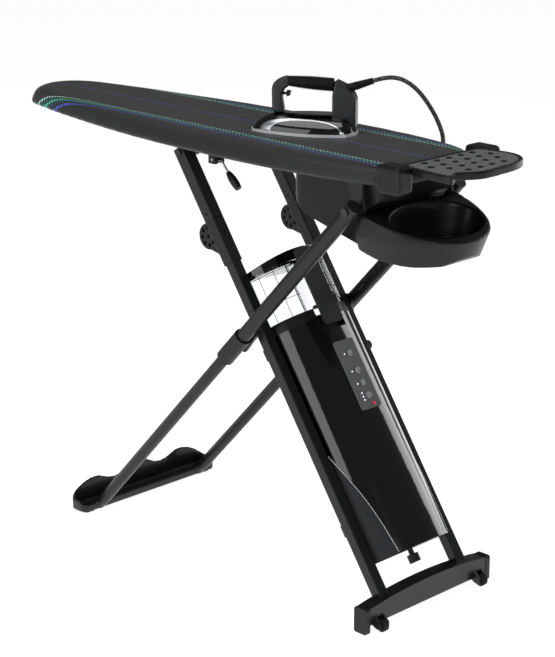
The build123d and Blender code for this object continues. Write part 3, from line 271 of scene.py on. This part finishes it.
# ---- Steam hose ------------------------------------------------------------------
# One braided hose, 9.5 mm thick. It leaves the iron's boot, arches over the far edge
# of the board, hangs in a neat coil on the hook and ends in the gland under the deck.
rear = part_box("iron_tray")[1][0] - 0.153
hose_radius = 0.00475
coil_centre = (rear - 0.245, 0.8656)
hose_points = [
    (rear - 0.26412, 0.08985, 1.09186),
    (rear - 0.245, 0.104, 1.100),
    (rear - 0.214, 0.120, 1.099),
    (rear - 0.186, 0.135, 1.080),
    (rear - 0.167, 0.152, 1.048),
    (rear - 0.155, 0.171, 1.010),
    (rear - 0.151, 0.188, 0.968),
    (rear - 0.163, 0.190, 0.928),
    (rear - 0.182, 0.188, 0.897),
]
# The coil's turns: angle reached, radius and distance out, each held until the next.
coil_steps = [
    (-10, 0.0556, 0.1866), (-300, 0.0556, 0.1866), (-335, 0.0456, 0.1866), (-640, 0.0456, 0.1866),
    (-675, 0.0456, 0.1964), (-960, 0.0456, 0.1964), (-995, 0.0556, 0.1964), (-1260, 0.0556, 0.1964),
]
angle = -10.0
while angle > -1250:
    for (a0, r0, y0), (a1, r1, y1) in zip(coil_steps, coil_steps[1:]):
        if a1 <= angle <= a0:
            part = (a0 - angle) / (a0 - a1)
            radius, out = r0 + (r1 - r0) * part, y0 + (y1 - y0) * part
    turned = math.radians(angle)
    hose_points.append((
        coil_centre[0] + radius * math.cos(turned), out, coil_centre[1] + radius * math.sin(turned)))
    angle -= 25
hose_points += [
    (rear - 0.3008, 0.195, 0.874),
    (rear - 0.307, 0.187, 0.888),
    (rear - 0.309, 0.183, 0.897),
    (rear - 0.309, 0.183, 0.9057),
]


def spline_object(name, points, bevel=0.0, sides=4, resolution=6):
    """A smooth curve through a route's points, as a tube where it has a bevel."""
    curve = bpy.data.curves.new(name, "CURVE")
    curve.dimensions = "3D"
    curve.bevel_depth = bevel
    curve.bevel_resolution = sides
    curve.use_fill_caps = bevel > 0
    spline = curve.splines.new("NURBS")
    spline.points.add(len(points) - 1)
    for point, place in zip(spline.points, points):
        point.co = (*place, 1)
    spline.order_u = 3
    spline.use_endpoint_u = True
    spline.resolution_u = resolution
    made = bpy.data.objects.new(name, curve)
    bpy.context.scene.collection.objects.link(made)
    return made


def spline_mesh(points, bevel=0.0, sides=4, resolution=6):
    """The mesh of such a curve, which itself is thrown away."""
    route = spline_object("route", points, bevel, sides, resolution)
    bpy.context.view_layer.update()
    data = bpy.data.meshes.new_from_object(route.evaluated_get(bpy.context.evaluated_depsgraph_get()))
    bpy.data.objects.remove(route)
    return data


hose_line = [vertex.co.copy() for vertex in spline_mesh(hose_points).vertices]
hose_data = spline_mesh(hose_points, hose_radius)
# Points in each ring of the tube, and the length run at each point of the middle line.
around = 12
along = [0.0]
for before, here in zip(hose_line, hose_line[1:]):
    along.append(along[-1] + (here - before).length)
lay = hose_data.attributes.new("lay", "FLOAT_VECTOR", "POINT")
for index in range(len(hose_data.vertices)):
    turned = math.tau * (index % around) / around
    lay.data[index].vector = (
        math.cos(turned), math.sin(turned), along[min(index // around, len(along) - 1)])
for face in hose_data.polygons:
    face.use_smooth = True
hose = bpy.data.objects.new("hose", hose_data)
bpy.context.scene.collection.objects.link(hose)

braid = Finish("black_braid", Specular_IOR_Level=0.4)
lay_wire = braid.place.node("ShaderNodeAttribute", {"attribute_name": "lay"}, {}, 1)
lay_x, lay_y, lay_z = (
    lay_wire.node("ShaderNodeSeparateXYZ", {}, {0: lay_wire}, axis) for axis in range(3))
turn_wire = lay_y.maths("ARCTAN2", lay_x)
strand_one = (turn_wire * 5 + lay_z * 1500).maths("SINE")
strand_two = (turn_wire * 5 - lay_z * 1500).maths("SINE")
weave = strand_one.maths("MAXIMUM", strand_two)
fleck = (strand_one * strand_two).band(0.9, 0.14, 0.12) * braid.noise(420.0).band(0.62, 0.12, 0.03)
braid.link("Base Color", fleck.between((0.012, 0.012, 0.013), (0.70, 0.70, 0.70)))
braid.link("Roughness", 0.78 - 0.2 * weave)
braid.relief(weave, 0.8, 0.0005)
hose_data.materials.append(braid.material)
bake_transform(hose)
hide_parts("hose_tube", "hose_coil")

# ---- Padded cover ----------------------------------------------------------------
# A charcoal cotton cover over felt, pulled tight over the deck's rim and puffed a
# little. Two bands of printed dashes and a dashed middle line run along it.
cover_low, cover_top = (corner[2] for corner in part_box("board_pad"))
rim_top = cover_low + 0.0105
band_y = 0.114

pad = bmesh.new()
pad.from_mesh(nodes["board_pad"].data)
bmesh.ops.remove_doubles(pad, verts=pad.verts, dist=JOIN)
for vertex in pad.verts:
    if vertex.co.z > rim_top:
        vertex.co.z = rim_top + (vertex.co.z - rim_top) * 0.94
charcoal = Finish("charcoal_cover", Sheen_Weight=0.12, Sheen_Roughness=0.5, Specular_IOR_Level=0.35)
across_cover = charcoal.along("Y")
along_cover = charcoal.along("X")
wide = across_cover.maths("ABSOLUTE")
threads = (along_cover * 3900).maths("SINE") * (across_cover * 3900).maths("SINE")
cloth_low = charcoal.noise(14.0, 5.0).between((0.010, 0.0103, 0.011), (0.015, 0.0154, 0.0163))
slub = charcoal.noise(420.0, 3.0).band(0.65, 0.08, 0.06)
cloth = (slub * 0.12).between(cloth_low, (0.06, 0.062, 0.066))


def dashes(step, filled):
    """1 on the dashes of a printed line of the given step."""
    return (along_cover / step).maths("FRACT").band(filled / 2, filled / 2 - 0.03, 0.03)


mint = wide.band(0.1030, 0.0014, 0.0003) * dashes(0.0100, 0.55)
teal_one = wide.band(0.1075, 0.0014, 0.0004)
green = wide.band(0.1125, 0.0014, 0.0003) * dashes(0.0100, 0.55)
teal_two = wide.band(0.1170, 0.0014, 0.0004)
violet = wide.band(0.1240, 0.0014, 0.0003) * dashes(0.0100, 0.55)
middle = wide.band(0.0, 0.0012, 0.0003) * dashes(0.0110, 0.5)
middle = middle * (rear - 0.024 - along_cover).maths("GREATER_THAN", 0)
hem = along_cover.maths("GREATER_THAN", rear - 0.008)
printed = teal_one.between(cloth, (0.004, 0.075, 0.072))
printed = teal_two.between(printed, (0.004, 0.055, 0.085))
printed = mint.between(printed, (0.55, 0.95, 0.80))
printed = green.between(printed, (0.06, 0.75, 0.50))
printed = violet.between(printed, (0.10, 0.14, 0.85))
printed = middle.between(printed, (0.16, 0.18, 0.75))
charcoal.link("Base Color", hem.between(printed, (0.012, 0.012, 0.013)))
charcoal.link("Roughness", 0.50 + 0.10 * charcoal.noise(60.0) - 0.1 * slub)
charcoal.relief(threads * 0.5 + charcoal.noise(900.0, 2.0), 0.2, 0.00012)

cover = piece("padded_cover", pad, None, charcoal.material)
cover.data = remeshed(cover, 0.0065)
start_places = [vertex.co.copy() for vertex in cover.data.vertices]
pins = cover.vertex_groups.new(name="rim")
pins.add([i for i, place in enumerate(start_places) if place.z < rim_top + 0.004], 1.0, "REPLACE")
cloth_sim = cover.modifiers.new("cloth", "CLOTH")
cloth_sim.settings.quality = 5
cloth_sim.settings.use_pressure = True
cloth_sim.settings.uniform_pressure_force = 4
cloth_sim.settings.effector_weights.gravity = 0
cloth_sim.settings.vertex_group_mass = "rim"
last_step = 20
for step in range(1, last_step + 1):
    bpy.context.scene.frame_set(step)
puffed = cover.evaluated_get(bpy.context.evaluated_depsgraph_get())
moved = [vertex.co.copy() for vertex in puffed.data.vertices]
cover.modifiers.clear()
bpy.context.scene.frame_set(1)
most_puff = 0.0045
for vertex, start, end in zip(cover.data.vertices, start_places, moved):
    shift = end - start
    vertex.co = start + shift * min(1.0, most_puff / max(shift.length, 0.00001))
eased = bmesh.new()
eased.from_mesh(cover.data)
upper = [vertex for vertex in eased.verts if vertex.co.z > rim_top - 0.002]
smooth_passes(eased, upper, 26)
eased.to_mesh(cover.data)
eased.free()
for vertex in cover.data.vertices:
    place = vertex.co
    if place.z > rim_top + 0.012:
        seam = math.exp(-((abs(place.y) - band_y - 0.013) / 0.003) ** 2)
        ripple = noise.noise(Vector((place.x * 9, place.y * 14, 0.0)))
        raised = min(place.z + 0.0012, cover_top - 0.0002)
        place.z = raised - 0.0007 * seam + 0.0005 * min(ripple, 0.0)
for face in cover.data.polygons:
    face.use_smooth = True
cover.data.materials.clear()
cover.data.materials.append(charcoal.material)
smooth = cover.modifiers.new("smooth", "SUBSURF")
smooth.levels = smooth.render_levels = 1
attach(cover, "board")
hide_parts("board_pad")

# ---- Deck, rails, brackets and lever ---------------------------------------------
# Pressed sheet steel under the cover, with the rails that the frame slides in, the
# hinge brackets and the sprung height lever, all powder coated or moulded.
deck_paint = moulded("deck_paint", (0.05, 0.05, 0.052), 0.45, 900.0, 0.00008)
bright_steel = moulded("bright_steel", (0.50, 0.51, 0.52), 0.28, 2600.0, 0.00002, metal=1.0)
frame_paint = moulded("frame_paint", (0.0085, 0.0087, 0.0092), 0.40, 1500.0, 0.00010, coat=0.15)
arm_paint = moulded("arm_paint", (0.0110, 0.0112, 0.0118), 0.40, 1500.0, 0.00010, coat=0.15)
black_plastic = moulded("black_plastic", (0.0065, 0.0065, 0.0069), 0.40, 1300.0, 0.00008, coat=0.1)
black_rubber = moulded("black_rubber", (0.007, 0.007, 0.007), 0.66, 700.0, 0.00010)
dress(deck_paint, "board_deck", "slide_rails")
dress(frame_paint, "hinge_brackets", "outer_leg_near", "outer_leg_far")
dress(frame_paint, "inner_leg_near", "inner_leg_far", "cross_bars")
dress(arm_paint, "upper_arms")
dark_steel = moulded("dark_steel", (0.045, 0.046, 0.047), 0.34, 2200.0, 0.00003, metal=0.8)
dress(dark_steel, "hinge_pins", "slider_bar")
dress(bright_steel, "lever_rod", "pivot_bolts")
dress(black_plastic, "lever_bracket", "lever_grip", "hose_hook")
dress(black_plastic, "pivot_collars", "arm_sleeves", "hose_clip")
dress(black_rubber, "hose_gland", "front_foot_pads", "wheel_near", "wheel_far")

# ---- Iron tray --------------------------------------------------------------------
# A black moulded tray with a speckled felt mat. Round rubber studs stand through the
# mat and keep the hot sole off it.
felt = Finish("speckled_felt", Sheen_Weight=0.3, Specular_IOR_Level=0.2)
speck = felt.noise(260.0, 4.0).band(0.64, 0.06, 0.03)
dark_speck = felt.noise(310.0, 4.0).band(0.36, 0.06, 0.03)
base_felt = felt.noise(30.0, 4.0).between((0.035, 0.036, 0.038), (0.060, 0.062, 0.064))
pale_felt = speck.between(base_felt, (0.16, 0.165, 0.17))
felt.link("Base Color", dark_speck.between(pale_felt, (0.012, 0.012, 0.012)))
felt.link("Roughness", 0.92 - 0.05 * speck)
felt.relief(felt.noise(700.0, 4.0), 0.7, 0.0006)
dress(felt.material, "tray_mat")
dress(black_rubber, "tray_studs")

# ---- Blower housing and storage tub ----------------------------------------------
# A black moulded housing under the deck holds the fan that draws air through the
# board. Behind it hangs an open tub with a sloping rim and small nubs on its floor.
housing_plastic = moulded("housing_plastic", (0.0070, 0.0072, 0.0077), 0.42, 1200.0, 0.00010)
dress(housing_plastic, "blower_housing")
dress(black_plastic, "fan_impeller")
rounded("eased_tub", "storage_tub", "board", black_plastic, 0.0028, 4)
rounded("eased_clamps", "rear_clamps", "board", black_plastic, 0.0020, 6)
rounded("eased_tray", "iron_tray", "board", black_plastic, 0.0018, 3)
dress(moulded("motor_paint", (0.2, 0.2, 0.21), 0.4), "fan_motor", "pump")

# ---- Feet --------------------------------------------------------------------------
# Satin black mouldings on the ends of the legs: a wavy front foot on rubber pads and
# an arched rear foot with end caps and two small wheels.
foot_plastic = moulded("foot_plastic", (0.010, 0.010, 0.011), 0.34, 1500.0, 0.00007, coat=0.25)
dress(foot_plastic, "rear_foot")
rounded("eased_front_foot", "front_foot", "outer_legs", foot_plastic, 0.0028, 4)
dress(black_plastic, "rear_foot_caps")

# ---- Steam generator ---------------------------------------------------------------
# A deep half-round case between the inner legs: a polished black cover over a matt
# grey casing, a silver strip on their seam that is a painted highlight of the cover's edge, and a
# grained control panel on the front.
gloss_black = moulded("gloss_black", (0.0010, 0.0010, 0.0011), 0.10, 60.0, 0.00001, coat=0.9)
casing_grey = moulded("casing_grey", (0.020, 0.0205, 0.022), 0.5, 1200.0, 0.00008)
panel_silver = Finish("panel_silver", Metallic=0.25, Coat_Weight=0.1)
panel_grain = panel_silver.noise(1500.0).between((0.085, 0.086, 0.088), (0.17, 0.172, 0.175))
panel_silver.link("Base Color", panel_grain)
panel_silver.link("Roughness", 0.36 + 0.12 * panel_silver.noise(600.0))
panel_silver.relief(panel_silver.noise(1700.0), 0.4, 0.00006)
pale_button = moulded("pale_button", (0.30, 0.305, 0.31), 0.3, 1500.0, 0.00003, coat=0.3, varied=0.06)
# Silver for the button rings and the iron's crescents, and also for the painted highlight strips along
# the generator's seam.
silver_trim_and_seam_highlight = moulded(
    "silver_trim_and_seam_highlight", (0.62, 0.63, 0.64), 0.22, 1800.0, 0.00002, coat=0.3, varied=0.08, metal=0.9)
dress(gloss_black, "generator_cover", "tank_lid")
dress(casing_grey, "generator_casing")
dress(panel_silver.material, "control_panel")
dress(pale_button, "power_button", "fan_button", "eco_button", "steam_button")
dress(black_plastic, "steam_trigger")
dress(moulded("circuit_green", (0.03, 0.14, 0.07), 0.4), "control_board")
dress(moulded("boiler_metal", (0.45, 0.45, 0.45), 0.35, 900.0, 0.0001, metal=1.0), "boiler")
dress(black_plastic, "mains_inlet", "tank_dock", "filter_cartridge")
dress(moulded("knob_grey", (0.02, 0.02, 0.021), 0.4), "drain_knob")

leg_foot = Vector((rear - 0.0198, 0, 0.050))
leg_up = Vector((-0.5724, 0, 0.8200))
leg_out = Vector((0.8200, 0, 0.5724))
# Places the generator's own frame: first its width, then up the legs, then outwards.
on_leg = Matrix.Translation(leg_foot) @ Matrix((
    (0, leg_up.x, leg_out.x, 0), (1, 0, 0, 0), (0, leg_up.z, leg_out.z, 0), (0, 0, 0, 1)))


def case_y(out):
    """Half width of the half-round case at a distance out from the legs."""
    return 0.108 * math.sqrt(1 - (max(out, 0.0) / 0.080) ** 2)


# The seam's route: distance up the legs and distance out from them.
seam_route = (
    (0.078, 0.0557), (0.110, 0.0535), (0.154, 0.0498), (0.205, 0.0425), (0.257, 0.0300),
    (0.296, 0.0165), (0.322, 0.0065))
# The silver strip along the seam on each side is a painted highlight: a bright line where the cover's
# edge catches the light.
for side, name in ((-1, "seam_highlight_near"), (1, "seam_highlight_far")):
    seam_points = [
        on_leg @ Vector((side * (case_y(out) + 0.0002), up, out)) for up, out in seam_route]
    seam_highlight_strip = spline_object(name, seam_points, 0.0011, 3, 8)
    seam_highlight_strip.data.materials.append(silver_trim_and_seam_highlight)
    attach(seam_highlight_strip, "inner_legs")

# A thin bar bent round each button. It is spun at a radius of 1 and then drawn in.
button_rings = bmesh.new()
ring_radius, ring_bar = 0.0068, 0.0005
for up in (0.510, 0.469, 0.440, 0.410):
    before = set(button_rings.verts)
    bar = bmesh.ops.create_circle(button_rings, segments=6, radius=ring_bar)["verts"]
    bmesh.ops.transform(
        button_rings, verts=bar,
        matrix=Matrix.Translation((1, 0, 0)) @ Matrix.Rotation(math.pi / 2, 4, "X"))
    edges = [edge for edge in button_rings.edges if edge.verts[0] in bar]
    bmesh.ops.spin(
        button_rings, geom=bar + edges, axis=(0, 0, 1), cent=(0, 0, 0), steps=40, angle=math.tau,
        use_merge=True)
    fresh = [vertex for vertex in button_rings.verts if vertex not in before]
    for vertex in fresh:
        outward = math.hypot(vertex.co.x, vertex.co.y)
        vertex.co.x *= (ring_radius + (outward - 1)) / outward
        vertex.co.y *= (ring_radius + (outward - 1)) / outward
    bmesh.ops.transform(
        button_rings, verts=fresh, matrix=on_leg @ Matrix.Translation((0.004, up, 0.0823)))
bmesh.ops.remove_doubles(button_rings, verts=button_rings.verts, dist=JOIN)
bmesh.ops.recalc_face_normals(button_rings, faces=button_rings.faces)
piece("button_rings", button_rings, "inner_legs", silver_trim_and_seam_highlight)


def lamp(name, spots, radius, colour, strength):
    """Small round indicator lenses on the control panel."""
    lenses = bmesh.new()
    for across, up in spots:
        lens = bmesh.ops.create_uvsphere(lenses, u_segments=16, v_segments=8, radius=radius)["verts"]
        bmesh.ops.transform(
            lenses, verts=lens,
            matrix=on_leg @ Matrix.Translation((across, up, 0.0821)) @ Matrix.Diagonal((1, 1, 0.4, 1)))
    glow = Finish(name, Emission_Strength=strength, Roughness=0.25)
    tint = glow.noise(200.0).between(shade(colour, 0.9), colour)
    glow.link("Base Color", tint)
    glow.link("Emission Color", tint)
    piece(name, lenses, "inner_legs", glow.material)


white_spots = [(-0.013, up) for up in (0.510, 0.469, 0.440, 0.418, 0.410, 0.402)]
lamp("white_lamps", white_spots, 0.0018, (0.9, 0.95, 0.95), 0.9)
lamp("red_lamp", [(0.009, 0.390)], 0.0036, (0.75, 0.02, 0.02), 0.5)

# ---- Water tank --------------------------------------------------------------------
# A clear moulded tank that lifts off the top of the generator, with an arched black
# lid, a satin grey grip strip down its front and a filter cartridge inside.
clear = Finish("clear_tank", Transmission_Weight=1.0, IOR=1.25, Coat_Weight=0.4, Alpha=1.0)
clear.link("Base Color", clear.noise(8.0).between((0.96, 0.97, 0.975), (1.0, 1.0, 1.0)))
clear.link("Roughness", 0.02 * clear.noise(30.0))
dress(clear.material, "tank_shell")
grip_grey = moulded("grip_grey", (0.026, 0.0265, 0.028), 0.36, 1500.0, 0.00006, coat=0.15)
dress(grip_grey, "tank_handle")

# Thin moulded ribs along the tank's wall: three arches on each side, and uprights.
tank_ribs = bmesh.new()
rib_bar = 0.0006


def on_tank(side, turn, up):
    """A point on the tank's wall, by its turn in degrees from the legs towards the front."""
    across, out = 0.1044 * math.cos(math.radians(turn)), 0.0764 * math.sin(math.radians(turn))
    return on_leg @ Vector((side * across, up, out))


for side in (-1, 1):
    for up in (0.622, 0.668, 0.734):
        arch = [on_tank(side, turn, up) for turn in range(4, 66, 5)]
        tank_ribs.from_mesh(spline_mesh(arch, rib_bar, 2, 4))
    for turn in (18, 42, 62):
        upright = [on_tank(side, turn, up) for up in (0.620, 0.660, 0.700, 0.736)]
        tank_ribs.from_mesh(spline_mesh(upright, rib_bar, 2, 4))
piece("tank_ribs", tank_ribs, "tank", black_plastic)
rounded("eased_handle_frame", "handle_frame", "iron", grip_grey, 0.0015, 24)

# ---- Iron --------------------------------------------------------------------------
# A steam iron on the board: polished steel sole, gloss black body with a silver
# crescent on each side, a grey post and heel, and a ribbed grip between them.
sole_steel = moulded(
    "sole_steel", (0.85, 0.86, 0.87), 0.3, 2200.0, 0.00002, metal=0.35, varied=0.06)
dress(sole_steel, "soleplate")
dress(gloss_black, "iron_body")
dress(black_rubber, "handle_grip", "hose_boot")
iron_turn = math.radians(36)
tip = Vector((rear - 0.476, -0.064, cover_top))
on_iron = Matrix.Translation(tip) @ Matrix.Rotation(iron_turn, 4, "Z")



def rims(rib):
    """The edges round a fresh disc's two caps, which a bevel eases."""
    edges = {edge for vertex in rib for edge in vertex.link_edges}
    return [edge for edge in edges if len({vertex.co.z > 0 for vertex in edge.verts}) == 1]


def facing(start, end):
    """The turn that takes the Z axis onto the line from start to end."""
    return (end - start).to_track_quat("Z", "Y").to_matrix().to_4x4()


grip_from, grip_to = Vector((0.0835, 0, 0.1084)), Vector((0.1745, 0, 0.1031))
ribs = bmesh.new()
last_rib = 21
for index in range(last_rib + 1):
    reach = index / last_rib
    at = grip_from.lerp(grip_to, reach)
    wide_rib = 0.0136 + 0.0021 * min(1, reach * 2)
    tall_rib = 0.0115 + 0.0030 * reach + 0.0016 * math.sin(math.pi * reach)
    rib = bmesh.ops.create_cone(
        ribs, cap_ends=True, segments=28, radius1=1, radius2=1, depth=0.0024)["verts"]
    edges = rims(rib)
    bmesh.ops.transform(
        ribs, verts=rib,
        matrix=on_iron @ Matrix.Translation(at) @ facing(grip_from, grip_to)
        @ Matrix.Diagonal((wide_rib, tall_rib, 1, 1)))
    bmesh.ops.bevel(
        ribs, geom=edges, offset=0.0008, segments=2, profile=0.5, affect="EDGES", material=-1)
piece("grip_ribs", ribs, "iron", black_rubber)

boot_from, boot_to = Vector((0.224, 0, 0.102)), Vector((0.259, 0, 0.1137))
boot_ribs = bmesh.new()
last_rib = 7
for index in range(last_rib + 1):
    at = boot_from.lerp(boot_to, index / last_rib)
    radius = 0.0094 - 0.0024 * index / last_rib
    rib = bmesh.ops.create_cone(
        boot_ribs, cap_ends=True, segments=28, radius1=radius, radius2=radius, depth=0.0022)["verts"]
    edges = rims(rib)
    bmesh.ops.transform(
        boot_ribs, verts=rib,
        matrix=on_iron @ Matrix.Translation(at) @ facing(boot_from, boot_to))
    bmesh.ops.bevel(
        boot_ribs, geom=edges, offset=0.0007, segments=2, profile=0.5, affect="EDGES", material=-1)
piece("boot_ribs", boot_ribs, "iron", black_rubber)

# The crescent: an arched strip laid on each side of the body, pressed against it.
body_skin = BVHTree.FromPolygons(
    [vertex.co for vertex in nodes["iron_body"].data.vertices],
    [tuple(face.vertices) for face in nodes["iron_body"].data.polygons])
crescent = bmesh.new()
for side in (-1, 1):
    before = set(crescent.verts)
    bmesh.ops.create_grid(crescent, x_segments=48, y_segments=6, size=0.5)
    for vertex in [v for v in crescent.verts if v not in before]:
        turned = math.pi * (0.5 - vertex.co.x)
        lift = vertex.co.y + 0.5
        reach = math.copysign(abs(math.cos(turned)) ** 0.82, math.cos(turned))
        rise = math.sin(turned) ** 0.9
        outer = Vector((0.1105 + 0.0895 * reach, 0.0065 + 0.0275 * rise))
        inner = Vector((0.1215 + 0.0755 * reach, 0.0065 + 0.0245 * rise))
        x, z = inner.lerp(outer, lift)
        start = on_iron @ Vector((x, side * 0.09, z))
        aim = (on_iron.to_3x3() @ Vector((0, -side, 0))).normalized()
        hit, normal, _, _ = body_skin.ray_cast(start, aim)
        vertex.co = hit + normal * 0.0005 if hit else on_iron @ Vector((x, side * 0.04, z))
bmesh.ops.recalc_face_normals(crescent, faces=crescent.faces)
bmesh.ops.solidify(crescent, geom=crescent.faces[:], thickness=0.0008)
piece("silver_crescent", crescent, "iron", silver_trim_and_seam_highlight)
